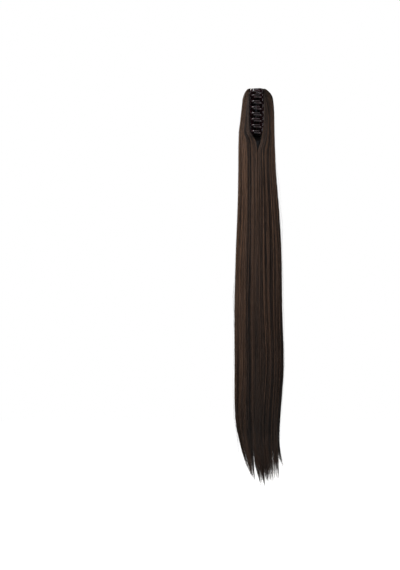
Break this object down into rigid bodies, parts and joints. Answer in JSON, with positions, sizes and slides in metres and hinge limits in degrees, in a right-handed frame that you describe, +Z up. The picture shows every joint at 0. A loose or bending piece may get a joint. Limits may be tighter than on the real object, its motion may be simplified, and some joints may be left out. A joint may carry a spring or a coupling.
{
  "type": "claw clip ponytail hairpiece",
  "caption": "Long straight ponytail hairpiece: false hair sewn to both jaws of a small spring claw clip, hanging in tapered locks.",
  "frame": {"origin": "middle of the claw's mouth, where the closed claw grips the wearer's own hair", "axes": "+Z up along the claw's length and the hinge pin, the tail hangs towards -Z; -Y is the side with the claw's teeth, towards the head; +Y is the outer side of the hair; +X is to the right as the toothed side is seen from the front"},
  "size_m": [0.0898, 0.0635, 0.7164],
  "materials": {
    "claw_plastic": "glossy, dark red brown, slightly translucent",
    "spring_steel": "bright drawn wire",
    "hair_fibre": "straight synthetic hair, dark brown with lighter brown strands, soft sheen"
  },
  "bodies": {
    "left_half": {"jaw_left": "claw_plastic", "hinge_pin": "spring_steel", "torsion_spring": "spring_steel", "hair_left": "hair_fibre", "hair_tail": "hair_fibre"},
    "right_half": {"jaw_right": "claw_plastic", "hair_right": "hair_fibre"}
  },
  "joints": [
    {"name": "claw_hinge", "type": "hinge", "parent": "left_half", "child": "right_half", "pos_m": [0, 0.012, 0], "axis": [0, 0, 1], "range_deg": [0, 45], "stiffness_Nm_per_rad": 0.03, "springref_deg": -20.05, "deforming": ["torsion_spring"]}
  ]
}
